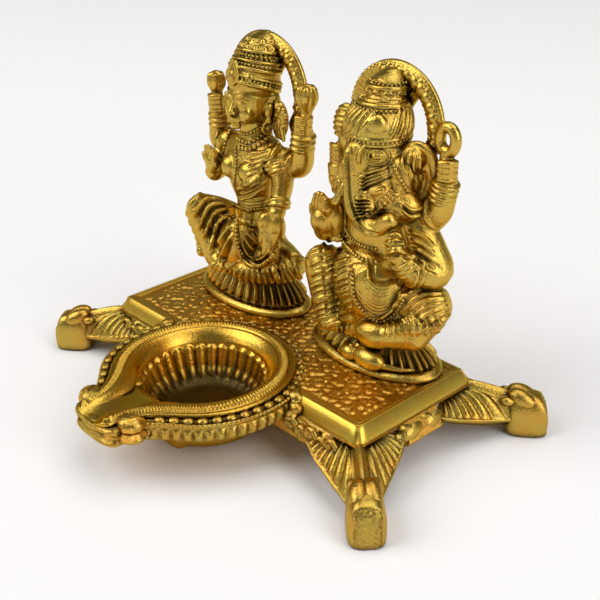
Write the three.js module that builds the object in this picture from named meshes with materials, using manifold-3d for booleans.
// Figural oil lamp in gilt cast metal, in millimetres, +Z up.
//
// A low rectangular stand on four splayed corner legs carries two seated figures side by side:
// a four-armed goddess on the left and an elephant-headed deity with a mouse on the right.
// A leaf-shaped oil bowl with a wick spout drops into an apron that juts from the front of the stand.
// Each figure is held by one long screw from below, each leg and each side of the bowl by a short one.
//
// The origin is on the surface that the lamp stands on, under the middle of the whole lamp.
// +X runs along the stand to the viewer's right and -Y points out along the spout.
// Everything is drawn about the middle of the stand first and moved as a whole at the end.

import * as THREE from "three";
import { mergeVertices } from "three/addons/utils/BufferGeometryUtils.js";
import Module from "manifold-3d";

const wasm = await Module();
wasm.setup();

// Driving dimensions: stand
const standWidth = 120;
const standDepth = 48;
const standHeight = 21;
const slabThickness = 3;
const borderWidth = 1.2;
const borderRise = 0.7;
const bandDrop = 4;
const bandFlare = 2.4;
const skirtWall = 2.4;
const lipFlare = 3.6;
const lipDrop = 8;

// Driving dimensions: legs
const legSplay = 40;
const footReach = 22;
const footLength = 14.6;
const footWidth = 11.6;
const footHeight = 14.4;
const fanSpread = 15.5;
const fanThickness = 2.8;
const fanNeck = 5;
const fanNeckHeight = 13.2;
const fanHeelHeight = 5.8;
const legBossInset = 9.5;
const legBossRadius = 4;
const legBossDrop = 4;
const legPadThickness = 3;

// Driving dimensions: oil bowl and the apron round it
const bowlSetback = 11;
const bowlCrestRadius = 25;
const bowlRimWidth = 5.5;
const bowlRimRise = 3;
const bowlRimLap = 1.6;
const bowlMouthInset = 3.6;
const bowlWall = 2.2;
const fluteCount = 24;
const fluteDepth = 1.1;
const bowlFootRadius = 18;
const bowlFootHeight = 3.5;
const spoutReach = 44;
const spoutHalfWidth = 7;
const channelHalfWidth = 4.2;
const channelDepth = 2.6;
const apronOverhang = 9;
const apronDepth = 6;
const apronGap = 0.4;
const lobeRadius = 4.4;
const lobeSpread = 10.8;
const lobeSetback = 8.4;

// Driving dimensions: figures
const goddessX = -29.5;
const elephantX = 32.2;
const figureY = 13;
const pedestalHalfWidth = 26;
const pedestalHalfDepth = 14.5;
const pedestalBack = 9.3;
const flangeHeight = 3;
const petalCount = 32;
const petalDepth = 0.045;
const goddessSeatRise = 12;
const elephantSeatRise = 10;
const archBand = 6;
const archWeb = 6.5;
const archThickness = 3;
const goddessArchRadius = 19.8;
const elephantArchRadius = 18.6;

// Driving dimensions: fasteners
const figureScrewRadius = 2;
const figureScrewBite = 9;
const figureHeadRadius = 3.5;
const figureHeadHeight = 2.6;
const washerRadius = 5.5;
const washerThickness = 1;
const legScrewRadius = 1.5;
const legHeadRadius = 2.8;
const legHeadHeight = 2.1;
const bowlScrewRadius = 1.25;
const bowlHeadRadius = 2.3;
const bowlHeadHeight = 1.7;
const bowlScrewBite = 0.9;
const bowlScrewAngle = 35;
const clearance = 0.3;

// Levels and places that follow from the driving dimensions
const slabUnderside = standHeight - slabThickness;
const bandBottom = standHeight - bandDrop;
const halfWidth = standWidth / 2;
const halfDepth = standDepth / 2;
const bowlCentreY = -halfDepth - bowlSetback;
const rimOuterRadius = bowlCrestRadius + bowlRimWidth;
const spoutTipY = bowlCentreY - spoutReach;
const crestLevel = standHeight + bowlRimRise;
const bowlScrewTip = standHeight + bowlScrewBite;
const washerBottom = slabUnderside - washerThickness;
const fanLevel = slabUnderside - legBossDrop;
const padLevel = fanLevel - legPadThickness;
const goddessSeat = standHeight + goddessSeatRise;
const elephantSeat = standHeight + elephantSeatRise;

// Finishes, as seen on the gilt casting
const finish = {
  gilt: () => new THREE.MeshStandardMaterial({ color: 0xc99a2e, roughness: 0.28, metalness: 1 }),
  shadedGilt: () => new THREE.MeshStandardMaterial({ color: 0xb98622, roughness: 0.35, metalness: 1 }),
  bowlGilt: () => new THREE.MeshStandardMaterial({ color: 0xd08f25, roughness: 0.32, metalness: 1 }),
  steel: () => new THREE.MeshStandardMaterial({ color: 0xb9bcc0, roughness: 0.35, metalness: 1 }),
};

const radians = THREE.MathUtils.degToRad;

// Solids from closed three.js geometry, and back
function solid(geometry) {
  const bare = geometry.clone();
  bare.deleteAttribute("normal");
  bare.deleteAttribute("uv");
  const merged = mergeVertices(bare, 1e-4);
  return new wasm.Manifold(
    new wasm.Mesh({
      numProp: 3,
      vertProperties: new Float32Array(merged.attributes.position.array),
      triVerts: new Uint32Array(merged.index.array),
    }),
  );
}

function geometryOf(manifold) {
  const mesh = manifold.getMesh();
  const geometry = new THREE.BufferGeometry();
  geometry.setAttribute("position", new THREE.BufferAttribute(new Float32Array(mesh.vertProperties), 3));
  geometry.setIndex(new THREE.BufferAttribute(new Uint32Array(mesh.triVerts), 1));
  geometry.computeVertexNormals();
  return geometry;
}

const join = (pieces) => pieces.reduce((all, piece) => all.add(piece));

// A closed body through rings of points, bottom ring first, each ring anticlockwise from above
function loft(rings) {
  const count = rings[0].length;
  const positions = rings.flat().flatMap((p) => [p.x, p.y, p.z]);
  const index = [];
  for (let r = 0; r + 1 < rings.length; r++) {
    for (let i = 0; i < count; i++) {
      const a = r * count + i;
      const b = r * count + ((i + 1) % count);
      index.push(a, b, a + count, b, b + count, a + count);
    }
  }
  const flatten = (ring) => ring.map((p) => new THREE.Vector2(p.x, p.y));
  const capOf = (ring) => THREE.ShapeUtils.triangulateShape(flatten(ring), []);
  const last = (rings.length - 1) * count;
  for (const [a, b, c] of capOf(rings[0])) index.push(a, c, b);
  for (const [a, b, c] of capOf(rings.at(-1))) index.push(last + a, last + b, last + c);
  const geometry = new THREE.BufferGeometry();
  geometry.setAttribute("position", new THREE.Float32BufferAttribute(positions, 3));
  geometry.setIndex(index);
  return solid(geometry);
}

function box(x0, x1, y0, y1, z0, z1) {
  const geometry = new THREE.BoxGeometry(x1 - x0, y1 - y0, z1 - z0);
  return solid(geometry.translate((x0 + x1) / 2, (y0 + y1) / 2, (z0 + z1) / 2));
}

// A round post standing along Z
function post(x, y, radius, z0, z1, sides = 12) {
  const geometry = new THREE.CylinderGeometry(radius, radius, z1 - z0, sides).rotateX(Math.PI / 2);
  return solid(geometry.translate(x, y, (z0 + z1) / 2));
}

// A ball or egg: centre, three radii and turns about X, Y and Z in degrees
function egg(centre, radii, turn = [0, 0, 0], sides = 10) {
  const geometry = new THREE.SphereGeometry(1, sides, Math.round(sides * 0.7)).rotateX(Math.PI / 2);
  geometry.scale(...radii);
  geometry.applyMatrix4(new THREE.Matrix4().makeRotationFromEuler(new THREE.Euler(...turn.map(radians))));
  return solid(geometry.translate(...centre));
}

// A limb swept through [point, radius] stations, with rounded ends
function sweep(stations, sides = 8) {
  const points = stations.map(([point]) => new THREE.Vector3(...point));
  const radii = stations.map(([, radius]) => radius);
  const last = points.length - 1;
  const stepTo = (i) => points[i + 1].clone().sub(points[i]).normalize();
  const headings = points.map((_, i) => {
    if (i === 0) return stepTo(0);
    if (i === last) return stepTo(last - 1);
    return stepTo(i - 1).add(stepTo(i)).normalize();
  });
  const rings = points.map((point, i) => [point, radii[i], headings[i]]);
  const beyond = (i, reach) => points[i].clone().addScaledVector(headings[i], radii[i] * reach);
  rings.unshift([beyond(0, -0.8), radii[0] * 0.6, headings[0]]);
  rings.push([beyond(last, 0.8), radii[last] * 0.6, headings[last]]);
  const positions = [];
  let side = new THREE.Vector3(0.31, 0.95, 0.07).cross(headings[0]).normalize();
  for (const [centre, radius, heading] of rings) {
    side = side.addScaledVector(heading, -side.dot(heading)).normalize();
    const up = heading.clone().cross(side);
    for (let i = 0; i < sides; i++) {
      const angle = (i / sides) * 2 * Math.PI;
      const spot = centre.clone()
        .addScaledVector(side, radius * Math.cos(angle))
        .addScaledVector(up, radius * Math.sin(angle));
      positions.push(spot.x, spot.y, spot.z);
    }
  }
  const ends = [beyond(0, -1), beyond(last, 1)];
  const index = [];
  for (let r = 0; r + 1 < rings.length; r++) {
    for (let i = 0; i < sides; i++) {
      const a = r * sides + i;
      const b = r * sides + ((i + 1) % sides);
      index.push(a, b, a + sides, b, b + sides, a + sides);
    }
  }
  const tail = positions.length / 3;
  for (const end of ends) positions.push(end.x, end.y, end.z);
  const front = (rings.length - 1) * sides;
  for (let i = 0; i < sides; i++) {
    const next = (i + 1) % sides;
    index.push(tail, next, i);
    index.push(tail + 1, front + i, front + next);
  }
  const geometry = new THREE.BufferGeometry();
  geometry.setAttribute("position", new THREE.Float32BufferAttribute(positions, 3));
  geometry.setIndex(index);
  return solid(geometry);
}

const limb = (from, fromRadius, to, toRadius) => sweep([[from, fromRadius], [to, toRadius]]);

// A body turned about Z through [radius, height] stations
function turned(x, y, stations, sides = 16) {
  const profile = stations.map(([radius, height]) => new THREE.Vector2(radius, height));
  return solid(new THREE.LatheGeometry(profile, sides).rotateX(Math.PI / 2).translate(x, y, 0));
}

// A body with an oval section that changes through [height, x, y, half-width, half-depth] stations
const stack = (stations, grow = 0, sides = 14) =>
  loft(
    stations.map(([z, x, y, across, along]) =>
      Array.from({ length: sides }, (_, i) => {
        const angle = (i / sides) * 2 * Math.PI;
        return new THREE.Vector3(
          x + (across + grow) * Math.cos(angle),
          y + (along + grow) * Math.sin(angle),
          z,
        );
      }),
    ),
  );

// The stand: slab with a raised border, flared band and hanging lip
function rectangleRing(grow, z) {
  const x = halfWidth + grow;
  const y = halfDepth + grow;
  return [
    new THREE.Vector3(-x, -y, z),
    new THREE.Vector3(x, -y, z),
    new THREE.Vector3(x, y, z),
    new THREE.Vector3(-x, y, z),
  ];
}

function standShell() {
  const lipBottom = bandBottom - lipDrop;
  const lipEdge = bandFlare + lipFlare;
  const outside = loft([
    rectangleRing(lipEdge - 1, lipBottom),
    rectangleRing(lipEdge, lipBottom + 1.5),
    rectangleRing(lipEdge - 0.4, lipBottom + 4),
    rectangleRing(bandFlare + 1, bandBottom),
    rectangleRing(bandFlare, bandBottom + 0.01),
    rectangleRing(0.6, standHeight - 1),
    rectangleRing(0, standHeight + borderRise),
  ]);
  const inside = loft([
    rectangleRing(lipEdge - skirtWall, lipBottom - 1),
    rectangleRing(lipEdge - skirtWall, lipBottom + 2),
    rectangleRing(bandFlare - skirtWall, bandBottom),
    rectangleRing(-skirtWall, slabUnderside),
  ]);
  const tray = loft([
    rectangleRing(-borderWidth, standHeight),
    rectangleRing(-borderWidth, standHeight + borderRise + 1),
  ]);
  return outside.subtract(inside).subtract(tray);
}

// The leaf outline of the bowl: a circle at the back that draws in to a spout at the front
const arcSteps = 11;
const drawInSteps = 5;

function leafRing(radius, spoutHalf, tipY, z) {
  const leave = radians(-38);
  const points = [];
  for (let i = 0; i <= arcSteps; i++) {
    const angle = THREE.MathUtils.lerp(Math.PI / 2, leave, i / arcSteps);
    points.push(new THREE.Vector2(radius * Math.cos(angle), bowlCentreY + radius * Math.sin(angle)));
  }
  const start = points.at(-1);
  const reach = start.y - tipY;
  const drawIn = new THREE.CubicBezierCurve(
    start,
    new THREE.Vector2(start.x - 0.32 * reach * Math.sin(-leave), start.y - 0.32 * reach * Math.cos(leave)),
    new THREE.Vector2(spoutHalf, tipY + 0.55 * reach),
    new THREE.Vector2(spoutHalf, tipY + 0.14 * reach),
  );
  points.push(...drawIn.getPoints(drawInSteps).slice(1));
  points.push(new THREE.Vector2(spoutHalf * 0.75, tipY + 0.02 * reach));
  const right = points.map((p) => new THREE.Vector3(p.x, p.y, z));
  const left = right.slice(1).map((p) => new THREE.Vector3(-p.x, p.y, z)).reverse();
  const clockwise = [...right, ...left];
  return clockwise.reverse();
}

// The apron carries the bowl in front of the stand and ends in two scroll lobes beside the spout
function apron() {
  const edge = rimOuterRadius - bowlRimWidth + apronOverhang;
  const spoutEdge = spoutHalfWidth + 3.4;
  const bottom = standHeight - apronDepth;
  const body = loft([
    leafRing(edge - 2.5, spoutEdge - 1, spoutTipY + 2, bottom),
    leafRing(edge - 0.4, spoutEdge, spoutTipY + 0.6, bottom + 1.5),
    leafRing(edge, spoutEdge, spoutTipY, standHeight - 1.6),
    leafRing(edge - 1, spoutEdge - 0.6, spoutTipY + 0.4, standHeight),
  ]);
  const lobeY = spoutTipY + lobeSetback;
  const lobes = [-1, 1].flatMap((side) => [
    egg([side * lobeSpread, lobeY, standHeight + 0.2], [lobeRadius, lobeRadius + 0.3, 3.1]),
    egg([side * lobeSpread, lobeY - 0.4, bottom + 3], [lobeRadius + 0.4, lobeRadius + 0.6, 2.3]),
  ]);
  return join([body, ...lobes]);
}

// The hole in the stand and apron that the bowl hangs in, with the seat that its rim rests on
function bowlHole() {
  const top = standHeight + 10;
  const bodyRadius = bowlCrestRadius + apronGap;
  const bodyHalf = spoutHalfWidth + apronGap;
  const rimRadius = rimOuterRadius + apronGap;
  const rimHalf = spoutHalfWidth + bowlRimLap + apronGap;
  return loft([
    leafRing(bodyRadius, bodyHalf, spoutTipY - 6, -5),
    leafRing(bodyRadius, bodyHalf, spoutTipY - 6, standHeight - 0.01),
    leafRing(rimRadius, rimHalf, spoutTipY - 6, standHeight),
    leafRing(rimRadius, rimHalf, spoutTipY - 6, top),
  ]);
}

const corners = [
  ["front_left", -1, -1],
  ["front_right", 1, -1],
  ["rear_left", -1, 1],
  ["rear_right", 1, 1],
];
const legBossAt = (sx, sy) => [sx * (halfWidth - legBossInset), sy * (halfDepth - legBossInset)];
const bowlScrewRing = (bowlCrestRadius + apronGap + rimOuterRadius) / 2;
const bowlScrewAt = (side) => [
  side * bowlScrewRing * Math.cos(radians(bowlScrewAngle)),
  bowlCentreY + bowlScrewRing * Math.sin(radians(bowlScrewAngle)),
];

// A prism over the place of a corner leg, where the lip of the stand gives way to it
function cornerGap(sx, sy) {
  const run = fanSpread + clearance;
  const inner = legBossInset + legBossRadius + 3;
  const outer = bandFlare + lipFlare + 4;
  const xs = [sx * (halfWidth - run), sx * (halfWidth + outer)].sort((a, b) => a - b);
  const ys = [sy * (halfDepth - inner), sy * (halfDepth + outer)].sort((a, b) => a - b);
  return box(xs[0], xs[1], ys[0], ys[1], 0, bandBottom);
}

function basePlate() {
  const inside = box(-halfWidth, halfWidth, -halfDepth + skirtWall, halfDepth, 0, slabUnderside);
  let body = standShell().add(apron().subtract(inside));
  for (const [, sx, sy] of corners) {
    body = body.subtract(cornerGap(sx, sy));
    const [x, y] = legBossAt(sx, sy);
    body = body.add(post(x, y, legBossRadius, slabUnderside - legBossDrop, slabUnderside + 1));
    body = body.subtract(post(x, y, legScrewRadius + clearance, 0, standHeight - 1.4));
  }
  body = body.subtract(bowlHole());
  for (const x of [goddessX, elephantX]) {
    body = body.subtract(post(x, figureY, figureScrewRadius + clearance, 0, standHeight + 5));
  }
  for (const side of [-1, 1]) {
    body = body.subtract(post(...bowlScrewAt(side), bowlScrewRadius + clearance, 0, standHeight + 5));
    body = body.subtract(post(...bowlScrewAt(side), bowlHeadRadius + clearance, 0, slabUnderside));
  }
  return body;
}

// The oil bowl: raised milled rim, deep round well and a shallow wick channel in the spout
function lampBowl() {
  const roundRing = (radius, z) => leafRing(radius, radius * 0.55, bowlCentreY - radius, z);
  const body = loft([
    roundRing(bowlFootRadius - 1.5, bowlFootHeight),
    roundRing(bowlFootRadius, bowlFootHeight + 1.2),
    leafRing(bowlCrestRadius - 3, 11, bowlCentreY - bowlCrestRadius + 2, bowlFootHeight + 8),
    leafRing(bowlCrestRadius - 1, spoutHalfWidth + 1, bowlCentreY - bowlCrestRadius - 6, standHeight - 5),
    leafRing(bowlCrestRadius, spoutHalfWidth, spoutTipY + 1.5, standHeight - 3),
    leafRing(bowlCrestRadius, spoutHalfWidth, spoutTipY + 0.5, standHeight),
    leafRing(rimOuterRadius, spoutHalfWidth + bowlRimLap, spoutTipY - 0.4, standHeight + 0.01),
    leafRing(rimOuterRadius, spoutHalfWidth + bowlRimLap - 0.2, spoutTipY - 0.4, crestLevel - 1.4),
    leafRing(bowlCrestRadius + 4.4, spoutHalfWidth + 1.1, spoutTipY - 0.2, crestLevel - 1.2),
    leafRing(bowlCrestRadius + 3.7, spoutHalfWidth + 0.8, spoutTipY, crestLevel - 1.6),
    leafRing(bowlCrestRadius + 2.7, spoutHalfWidth + 0.3, spoutTipY + 0.3, crestLevel - 0.3),
    leafRing(bowlCrestRadius + 1.3, spoutHalfWidth - 0.4, spoutTipY + 0.8, crestLevel),
    leafRing(bowlCrestRadius + 0.3, spoutHalfWidth - 1, spoutTipY + 1.4, crestLevel - 0.4),
  ]);
  const mouth = bowlCrestRadius - bowlMouthInset;
  const floorLevel = bowlFootHeight + bowlWall + 0.8;
  const flutedRing = (radius, share, z) =>
    Array.from({ length: fluteCount * 4 }, (_, i) => {
      const angle = (i / (fluteCount * 4)) * 2 * Math.PI;
      const rib = fluteDepth * share * [0, 0.8, 1, 0.8][i % 4];
      return new THREE.Vector3(
        (radius - rib) * Math.cos(angle),
        bowlCentreY + (radius - rib) * Math.sin(angle),
        z,
      );
    });
  const flutes = loft([
    flutedRing(bowlFootRadius - bowlWall - 3, 0, floorLevel),
    flutedRing(bowlFootRadius - bowlWall, 0.3, floorLevel + 1.6),
    flutedRing(mouth - 2.8, 1, standHeight - 9.5),
    flutedRing(mouth - 1.2, 1, standHeight - 4.5),
    flutedRing(mouth - 0.7, 0.2, standHeight - 2.8),
    flutedRing(mouth - 0.5, 0, standHeight - 1.4),
  ]);
  const slope = loft([
    roundRing(mouth - 0.7, standHeight - 2.4),
    roundRing(mouth, standHeight - 0.8),
    leafRing(mouth + 1.8, channelHalfWidth, spoutTipY + 3.2, standHeight + 1.2),
    leafRing(mouth + 3.2, channelHalfWidth + 1.2, spoutTipY + 2.2, crestLevel - 0.9),
    leafRing(mouth + 3.9, channelHalfWidth + 1.8, spoutTipY + 1.6, crestLevel + 1),
  ]);
  const channel = loft([
    leafRing(mouth - 2.5, channelHalfWidth * 0.6, spoutTipY - 6, crestLevel - channelDepth),
    leafRing(mouth - 0.5, channelHalfWidth, spoutTipY - 6, crestLevel - channelDepth + 1),
    leafRing(mouth, channelHalfWidth + 0.6, spoutTipY - 6, crestLevel + 1),
  ]);
  let bowl = body.subtract(flutes).subtract(slope).subtract(channel);
  for (const side of [-1, 1]) {
    const [x, y] = bowlScrewAt(side);
    bowl = bowl.subtract(post(x, y, bowlScrewRadius + clearance, 0, bowlScrewTip + clearance));
  }
  return bowl;
}

// A corner leg, drawn with u outwards from the stand's corner and v across, then turned into place.
// Its fan is an arched shell with a ridge along the middle, wide under the stand and narrow at the foot.
function legFan() {
  const fanTop = bandBottom - clearance;
  const stations = [
    [-7, fanSpread, fanTop - 0.6, 12.2],
    [-1, fanSpread * 0.88, fanTop - 0.3, 10.4],
    [3, fanSpread * 0.74, fanTop, 9],
    [7, fanSpread * 0.62, fanTop - 0.4, 7.8],
    [12, fanSpread * 0.45, (fanTop + fanNeckHeight) / 2, 6.6],
    [17, fanNeck, fanNeckHeight, fanHeelHeight],
  ];
  const shares = [-1, -0.75, -0.5, -0.25, 0, 0.25, 0.5, 0.75, 1];
  const across = shares.length;
  const positions = [];
  for (const [u, half, ridge, edge] of stations) {
    const arched = (share) => edge + (ridge - edge) * (1 - Math.abs(share) ** 1.7);
    for (const share of shares) positions.push(u, half * share, arched(share));
    for (const share of [...shares].reverse()) {
      const inset = share * (half - fanThickness * 0.4);
      positions.push(u, inset, arched(share) - fanThickness * (1 - 0.35 * Math.abs(share)));
    }
  }
  const round = 2 * across;
  const index = [];
  for (let r = 0; r + 1 < stations.length; r++) {
    for (let i = 0; i < round; i++) {
      const a = r * round + i;
      const b = r * round + ((i + 1) % round);
      index.push(a, a + round, b, b, a + round, b + round);
    }
  }
  const last = (stations.length - 1) * round;
  for (let i = 0; i + 1 < across; i++) {
    const under = round - 1 - i;
    index.push(i, i + 1, under, i + 1, under - 1, under);
    index.push(last + i, last + under, last + i + 1, last + i + 1, last + under, last + under - 1);
  }
  const geometry = new THREE.BufferGeometry();
  geometry.setAttribute("position", new THREE.Float32BufferAttribute(positions, 3));
  geometry.setIndex(index);
  return solid(geometry);
}

function legFoot() {
  const levels = [
    [0, 0.6, 0.66, 0],
    [0.1, 0.82, 0.86, 0],
    [0.33, 0.97, 0.99, 0.2],
    [0.6, 1, 1, 0.2],
    [0.8, 0.88, 0.86, 0],
    [0.95, 0.58, 0.55, -0.4],
    [1, 0.25, 0.25, -0.6],
  ];
  const sides = 12;
  const squared = (value) => Math.sign(value) * Math.abs(value) ** 0.75;
  return loft(
    levels.map(([level, along, across, shift]) =>
      Array.from({ length: sides }, (_, i) => {
        const angle = (i / sides) * 2 * Math.PI;
        return new THREE.Vector3(
          footReach + shift + (footLength / 2) * along * squared(Math.cos(angle)),
          (footWidth / 2) * across * squared(Math.sin(angle)),
          footHeight * level,
        );
      }),
    ),
  );
}

function cornerLeg(sx, sy) {
  const ridgeEnd = [footReach - 5, 0, fanNeckHeight - 3.2];
  const ridge = limb([3, 0, bandBottom - clearance - 3.4], 2.6, ridgeEnd, 3.2);
  const hub = box(-9, 4, -6, 6, padLevel, bandBottom - clearance - 2);
  const flat = join([legFan(), ridge, legFoot(), hub]);
  const outwards = new THREE.Vector2(Math.cos(radians(legSplay)) * sx, Math.sin(radians(legSplay)) * sy);
  const hand = sx * sy;
  const place = new THREE.Matrix4().set(
    outwards.x, -outwards.y * hand, 0, sx * halfWidth,
    outwards.y, outwards.x * hand, 0, sy * halfDepth,
    0, 0, 1, 0,
    0, 0, 0, 1,
  );
  const turnedPiece = geometryOf(flat).applyMatrix4(place);
  if (hand < 0) {
    const order = turnedPiece.index.array;
    for (let i = 0; i < order.length; i += 3) [order[i], order[i + 1]] = [order[i + 1], order[i]];
  }
  const [bossX, bossY] = legBossAt(sx, sy);
  const padHalf = legBossRadius + 1.2;
  const span = (a, b) => [Math.min(a, b), Math.max(a, b)];
  const [x0, x1] = span(bossX - sx * padHalf, sx * (halfWidth - 1));
  const [y0, y1] = span(bossY - sy * padHalf, sy * (halfDepth - 1));
  const pad = box(x0, x1, y0, y1, padLevel, fanLevel);
  return solid(turnedPiece).add(pad)
    .subtract(post(bossX, bossY, legScrewRadius + clearance, 0, standHeight))
    .subtract(bowlHole())
    .subtract(box(-halfWidth, halfWidth, -halfDepth, halfDepth, fanLevel, standHeight));
}

// A lotus pedestal: flange below, a ring of drooping petals, flat seat above and flat back
function pedestal(x, seatLevel, grow = 0) {
  const steps = petalCount * 3;
  const ring = (across, along, z, petals) =>
    Array.from({ length: steps }, (_, i) => {
      const angle = (i / steps) * 2 * Math.PI;
      const swell = 1 + petals * (Math.abs(Math.cos((angle * petalCount) / 2)) - 0.6);
      return new THREE.Vector3(
        x + (across + grow) * swell * Math.cos(angle),
        figureY + (along + grow) * swell * Math.sin(angle),
        z,
      );
    });
  const w = pedestalHalfWidth;
  const d = pedestalHalfDepth;
  const rise = seatLevel - standHeight - flangeHeight;
  const flangeTop = standHeight + flangeHeight;
  const body = loft([
    ring(w - 1, d - 1, standHeight, 0),
    ring(w, d, standHeight + 0.8, 0),
    ring(w, d, flangeTop - 1, 0),
    ring(w - 2.2, d - 2, flangeTop, petalDepth),
    ring(w - 2.6, d - 2.2, flangeTop + rise * 0.3, petalDepth),
    ring(w - 5.5, d - 3.4, flangeTop + rise * 0.7, petalDepth),
    ring(w - 8, d - 4.4, seatLevel, 0),
  ]);
  const behind = box(x - w - 5, x + w + 5, figureY + pedestalBack + grow, figureY + 30, 0, seatLevel + 5);
  return body.subtract(behind).subtract(post(x, figureY, figureScrewRadius + clearance, 0, seatLevel + 5));
}

// Figures are listed about the middle of the seat: x to the viewer's right, -y to the front, z up.
// grow swells every form a little, for cutting a seat in a neighbour.
function goddessForms(grow = 0) {
  const g = (radii) => radii.map((r) => r + grow);
  const lap = stack([
    [-1, 0, -1, 19, 10.5],
    [3.5, 0, -1.5, 20, 11.6],
    [9, 0, -0.5, 17, 11],
    [14, 0, 1, 11.5, 8.6],
    [19, 0, 1.5, 9.4, 7.2],
  ], grow);
  const raisedLeg = [
    sweep([[[-7, 0, 12], 8 + grow], [[-17.6, -9.2, 19.4], 6.4 + grow]]),
    sweep([[[-16.8, -9.6, 17.4], 6 + grow], [[-13.4, -10, 10.4], 5 + grow], [[-9.8, -10.4, 4], 4.6 + grow]]),
    sweep([[[-9.8, -10.4, 3.8], 4.4 + grow], [[-3.4, -11.4, 3.4], 3.6 + grow]]),
  ];
  const flatLeg = [
    sweep([[[8, 0, 8], 7.5 + grow], [[21, -1.2, 7], 5.8 + grow]]),
    sweep([[[19.6, -3, 6], 5.8 + grow], [[7, -11, 4.2], 4.2 + grow]]),
  ];
  const apronFold = egg([2, -9, 10], g([8, 4.6, 9]));
  const torso = stack([
    [15, 0, 1.5, 9.6, 7.6],
    [24, 0, 2, 8.4, 6.4],
    [31, 0, 1, 9.8, 7.2],
    [38, 0, 0.6, 12, 8],
    [44, 0, 1.8, 14.6, 7.4],
    [48, 0, 2.4, 11.5, 6.2],
    [50, 0, 2, 5.6, 5.2],
    [59, 0, 1.8, 4.6, 4.8],
  ], grow);
  const bosom = [-1, 1].map((side) => egg([side * 4.8, -4.6, 38.5], g([4.8, 4.6, 4.8])));
  const head = [
    egg([0, 1.2, 62.4], g([8, 8.4, 9.4]), [0, 0, 0], 14),
    egg([0, 5, 60], g([9.4, 6, 9.2])),
    egg([-8.4, 2.6, 58.4], g([2, 2.6, 3.4])),
    egg([8.4, 2.6, 58.4], g([2, 2.6, 3.4])),
  ];
  const crown = stack([
    [64.4, 0, 3, 8.4, 8],
    [65.2, 0, 3, 9.6, 9.2],
    [67.4, 0, 2.8, 9.8, 9.4],
    [68.2, 0, 2.8, 8.9, 8.5],
    [71.2, 0, 3, 9, 8.6],
    [71.9, 0, 3.1, 9.6, 9.1],
    [73.4, 0, 3.4, 9.4, 8.9],
    [74.1, 0, 3.6, 8.4, 8],
    [76.8, 0, 4.4, 7.9, 7.5],
    [77.5, 0, 4.7, 8.3, 7.9],
    [79, 0, 5.3, 7.5, 7.1],
    [79.8, 0, 5.7, 6.6, 6.2],
    [82.6, 0, 7.2, 4.6, 4.2],
    [84.2, 0, 8.6, 2, 1.8],
  ], grow);
  const leaf = egg([0, -6.2, 72], g([2.6, 1.6, 4.4]), [-10, 0, 0]);
  const blessingArm = [
    sweep([[[-13.5, 1.5, 44], 4.6 + grow], [[-16.8, 0.4, 35.4], 4.4 + grow], [[-14.4, -5, 34.6], 4 + grow]]),
    egg([-12.8, -7.2, 39.6], g([4.2, 3, 6.6])),
  ];
  const givingArm = [
    sweep([[[13.5, 1.5, 44], 4.6 + grow], [[17.6, -1, 37], 4 + grow], [[19.4, -4.6, 29.6], 3.4 + grow]]),
    egg([18.8, -6.8, 23], g([4.4, 3.2, 5.8])),
    limb([18.6, -7.4, 18], 3.2 + grow, [18.4, -8, 8], 3.4 + grow),
  ];
  const budArm = (side, elbow, wrist, bud, size) => [
    sweep([[[side * 13, 4, 43], 4.4 + grow], [elbow, 4 + grow], [wrist, 3.6 + grow]]),
    egg([wrist[0], wrist[1] - 0.6, wrist[2] + 4], g([3.7, 3.2, 4.2])),
    limb(wrist, 1.8 + grow, bud, 1.8 + grow),
    egg(bud, g([size, size * 0.9, size * 1.15])),
  ];
  const curls = [-1, 1].map((side) => egg([side * 11.6, 5, 56], g([3.2, 2.6, 5.4]), [0, side * 14, 0]));
  return [
    lap, ...raisedLeg, ...flatLeg, apronFold, torso, ...bosom, ...head, crown, leaf, ...blessingArm,
    ...givingArm, ...curls,
    ...budArm(-1, [-21.2, 4, 42.4], [-21.4, 4, 52.4], [-22.4, 4, 63.4], 4.1),
    ...budArm(1, [21.4, 4, 43], [23.2, 4, 54], [25, 4, 66.8], 4.7),
  ];
}

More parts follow.
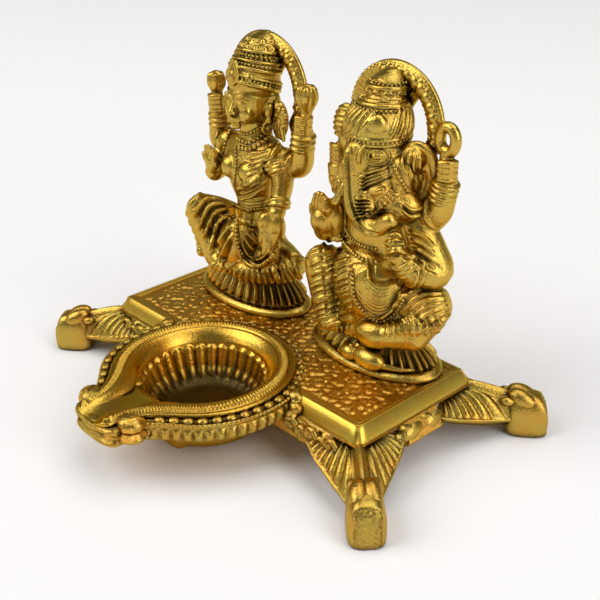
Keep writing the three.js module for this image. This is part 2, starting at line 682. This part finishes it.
function elephantForms(grow = 0) {
  const g = (radii) => radii.map((r) => r + grow);
  const body = stack([
    [-1, 0, -0.5, 18, 10.5],
    [5, 0, -0.5, 19.5, 11],
    [14, 0.5, 0, 18.5, 11],
    [22, 0, 1, 15.5, 10],
    [30, 0, 2, 15, 9],
    [38, 0, 2.4, 15.5, 8.6],
    [44, 0, 2.6, 12, 7],
    [50, 0, 1, 8, 7],
  ], grow);
  const belly = egg([1, -4.5, 18.5], g([13.6, 10.8, 13.4]), [0, 0, 0], 14);
  const rightLeg = [
    sweep([[[-9, 0, 12], 8 + grow], [[-17.8, -7, 19.8], 6.4 + grow]]),
    sweep([[[-17.2, -7.8, 17.5], 6 + grow], [[-14.8, -9, 10], 5.2 + grow], [[-12.4, -9.6, 4], 4.6 + grow]]),
    egg([-10, -11, 2.6], g([6, 4.4, 3.4]), [0, 0, 25]),
  ];
  const leftLeg = [
    sweep([[[8, 1, 13], 8 + grow], [[20.2, 1, 14.6], 8 + grow]]),
    sweep([[[20.4, 0, 12], 7.4 + grow], [[20.4, -5, 7], 5.6 + grow]]),
    sweep([[[20.2, -5.2, 6.8], 5.2 + grow], [[9, -10.5, 5], 4 + grow]]),
    egg([9.6, -11.4, 5], g([6.6, 4, 4.8]), [0, 0, 15]),
  ];
  const head = [
    egg([0, -1.6, 60.2], g([11, 10.2, 11]), [0, 0, 0], 14),
    egg([-5.4, -6.4, 54.6], g([5, 5, 6.4])),
    egg([5.4, -6.4, 54.6], g([5, 5, 6.4])),
    egg([9, -1, 46.6], g([7.4, 7.4, 6])),
    egg([-7, -1, 46.6], g([6.4, 6.8, 6])),
    sweep([
      [[0, -8.4, 62.4], 5 + grow],
      [[0, -9.6, 52], 4.8 + grow],
      [[0.8, -10, 45.2], 4.4 + grow],
      [[4.6, -10.4, 41.4], 3.8 + grow],
      [[9.6, -10.4, 41.8], 3.4 + grow],
      [[13.4, -10, 44.4], 3 + grow],
    ]),
    limb([-5, -10, 50.6], 1.8 + grow, [-6.4, -12.4, 46], 1.2 + grow),
    limb([5, -10, 50.6], 1.8 + grow, [7.4, -11.4, 48], 1.3 + grow),
  ];
  const ears = [-1, 1].map((side) => egg([side * 12.6, 2, 55], g([6, 3, 10.6]), [0, side * 6, side * 24]));
  const crown = stack([
    [64.6, 0, -1, 9.2, 9],
    [65.2, 0, -1, 10.2, 10],
    [66.4, 0, -1.1, 10.2, 10],
    [68.8, 0, -1.2, 10.7, 10.3],
    [72.8, 0, -0.6, 9.7, 9.3],
    [75.6, 0, 0.4, 7.8, 7.4],
    [76.4, 0, 0.7, 8, 7.6],
    [77, 0, 0.9, 6.8, 6.5],
    [79.8, 0, 1.8, 6.2, 5.8],
    [80.4, 0, 2, 6.6, 6.2],
    [81.2, 0, 2.4, 6, 5.6],
    [83.4, 0, 3.4, 4.6, 4.4],
    [85.2, 0, 4.6, 2.4, 2.4],
  ], grow);
  const blessingArm = [
    sweep([[[-14, 2, 41], 5 + grow], [[-19, -1, 31], 4.6 + grow], [[-18, -6, 31], 4 + grow]]),
    egg([-17.8, -7.2, 36], g([4.6, 3.4, 7.4])),
  ];
  const sweetArm = [
    sweep([[[14, 2, 41], 5 + grow], [[22.6, 1.4, 27], 5.6 + grow], [[19.6, -6.6, 28.6], 4 + grow]]),
    sweep([[[19.6, -6.8, 28.6], 3.8 + grow], [[17.8, -9.4, 33.4], 3.4 + grow]]),
    egg([16.8, -9.8, 37.2], g([4, 3.4, 4])),
  ];
  const raisedArm = (side, wrist) => [
    sweep([[[side * 13, 4, 42], 5 + grow], [[side * 20.4, 4, 45.4], 4.5 + grow], [wrist, 3.5 + grow]]),
    egg([wrist[0], wrist[1] - 0.8, wrist[2] + 4.2], g([3.6, 3, 4])),
  ];
  const axe = [
    egg([-19.2, 4, 65], g([4, 2.8, 6.6]), [0, 12, 0]),
    limb([-20.6, 4, 54], 1.8 + grow, [-19.6, 4, 62], 1.8 + grow),
  ];
  const hookTurns = 8;
  const hook = sweep(
    Array.from({ length: hookTurns + 1 }, (_, i) => {
      const angle = radians(-100 + (300 * i) / hookTurns);
      return [[22.6 + 3 * Math.cos(angle), 4, 68.6 + 3.8 * Math.sin(angle)], 1.7 + grow];
    }),
  );
  const hookStem = limb([22.6, 4, 60], 1.8 + grow, [22, 4, 65], 1.8 + grow);
  return [
    body, belly, ...rightLeg, ...leftLeg, ...head, ...ears, crown, ...blessingArm, ...sweetArm,
    ...raisedArm(-1, [-20.8, 4, 50.6]), ...axe,
    ...raisedArm(1, [22.8, 4, 55.6]), hookStem, hook,
  ];
}

const above = (level) => box(-100, 100, -100, 100, level, level + 200);

function figure(forms, x, seatLevel) {
  const bore = post(0, 0, figureScrewRadius + clearance, -1, figureScrewBite + 1);
  return join(forms).intersect(above(0)).subtract(bore).translate([x, figureY, seatLevel]);
}

// The arch behind a head: a flat lobed band from hand to hand with a round boss at each foot,
// filled in above the crown
function arch(forms, x, seatLevel, radius, centreRise, setBack) {
  const lobes = 13;
  const outline = new THREE.Shape();
  const steps = lobes * 4;
  const start = radians(-8);
  const finishAngle = Math.PI - start;
  const at = (r, angle) => new THREE.Vector2(r * Math.cos(angle), r * Math.sin(angle));
  const outer = Array.from({ length: steps + 1 }, (_, i) => {
    const share = i / steps;
    const swell = 0.5 * Math.abs(Math.sin(share * lobes * Math.PI));
    return at(radius - 0.5 + swell, THREE.MathUtils.lerp(start, finishAngle, share));
  });
  const innerSteps = 24;
  const inner = Array.from({ length: innerSteps + 1 }, (_, i) => {
    const angle = THREE.MathUtils.lerp(finishAngle, start, i / innerSteps);
    const web = archWeb * THREE.MathUtils.smoothstep(Math.sin(angle), 0.68, 0.84);
    return at(radius - archBand - web, angle);
  });
  outline.setFromPoints([...outer, ...inner]);
  const band = new THREE.ExtrudeGeometry(outline, { depth: archThickness, bevelEnabled: false });
  const bosses = [-1, 1].map((side) => {
    const disc = new THREE.CylinderGeometry(3.4, 3.4, archThickness, 16).rotateX(Math.PI / 2);
    return solid(disc.translate(side * (radius - archBand / 2 + 0.6), -3.2, archThickness / 2));
  });
  const flat = join([solid(band), ...bosses]);
  const stood = geometryOf(flat).rotateX(Math.PI / 2);
  const upright = solid(stood.translate(0, setBack + archThickness, centreRise));
  return upright.subtract(join(forms)).translate([x, figureY, seatLevel]);
}

// The mouse crouches on the flange in front of the elephant-headed figure
function mouse() {
  const level = standHeight + flangeHeight - elephantSeat;
  const forms = [
    egg([8, -12, level + 3], [6.4, 3.8, 3.8]),
    egg([0.5, -12.6, level + 2.6], [4, 3, 2.8]),
    limb([-1.5, -12.8, level + 2.2], 1.8, [-4.2, -13, level + 1.5], 1),
    egg([1.6, -13, level + 4.6], [1.4, 0.9, 1.5]),
    sweep([[[13, -11.4, level + 2], 1.4], [[18, -8.4, level + 1.4], 1], [[21, -5.4, level + 1.2], 0.8]]),
  ];
  const body = join(forms).intersect(above(level)).translate([elephantX, figureY, elephantSeat]);
  const ledge = box(-200, 200, -200, 200, 0, standHeight + flangeHeight);
  return body.subtract(ledge).subtract(pedestal(elephantX, elephantSeat, clearance))
    .subtract(above(elephantSeat - clearance));
}

// Pan-head screw from below, head at the bottom
function screw(x, y, radius, headRadius, headHeight, headTop, tip) {
  return turned(x, y, [
    [0, headTop - headHeight],
    [headRadius * 0.75, headTop - headHeight],
    [headRadius, headTop - headHeight * 0.6],
    [headRadius, headTop],
    [radius, headTop],
    [radius, tip - radius * 0.5],
    [0, tip],
  ], 12);
}

function washer(x, y) {
  const disc = post(x, y, washerRadius, slabUnderside - washerThickness, slabUnderside);
  return disc.subtract(post(x, y, figureScrewRadius + clearance, 0, standHeight));
}

// Assembly
const lamp = new THREE.Group();

function put(name, body, material) {
  const mesh = new THREE.Mesh(geometryOf(body), material);
  mesh.name = name;
  lamp.add(mesh);
}

put("base_plate", basePlate(), finish.shadedGilt());
put("lamp_bowl", lampBowl(), finish.bowlGilt());
for (const [corner, sx, sy] of corners) {
  put(`leg_${corner}`, cornerLeg(sx, sy), finish.gilt());
  const [x, y] = legBossAt(sx, sy);
  put(`leg_screw_${corner}`,
    screw(x, y, legScrewRadius, legHeadRadius, legHeadHeight, padLevel, standHeight - 2), finish.steel());
}
for (const [hand, side] of [["left", -1], ["right", 1]]) {
  const [x, y] = bowlScrewAt(side);
  put(`bowl_screw_${hand}`,
    screw(x, y, bowlScrewRadius, bowlHeadRadius, bowlHeadHeight, slabUnderside, bowlScrewTip),
    finish.steel());
}

const figures = [
  ["goddess", goddessX, goddessSeat, goddessForms, goddessArchRadius, 64.5, 7.6],
  ["elephant", elephantX, elephantSeat, elephantForms, elephantArchRadius, 68.5, 5.6],
];
for (const [name, x, seatLevel, forms, archRadius, archRise, archSetBack] of figures) {
  put(`${name}_pedestal`, pedestal(x, seatLevel), finish.gilt());
  put(`${name}_figure`, figure(forms(), x, seatLevel), finish.gilt());
  const ornament = arch(forms(clearance), x, seatLevel, archRadius, archRise, archSetBack);
  put(`${name}_arch`, ornament, finish.gilt());
  const tip = seatLevel + figureScrewBite;
  put(`${name}_screw`,
    screw(x, figureY, figureScrewRadius, figureHeadRadius, figureHeadHeight, washerBottom, tip),
    finish.steel());
  put(`${name}_washer`, washer(x, figureY), finish.steel());
}
put("mouse", mouse(), finish.gilt());

const extent = new THREE.Box3().setFromObject(lamp);
lamp.position.y = -(extent.min.y + extent.max.y) / 2;
lamp.updateMatrixWorld(true);

export default lamp;
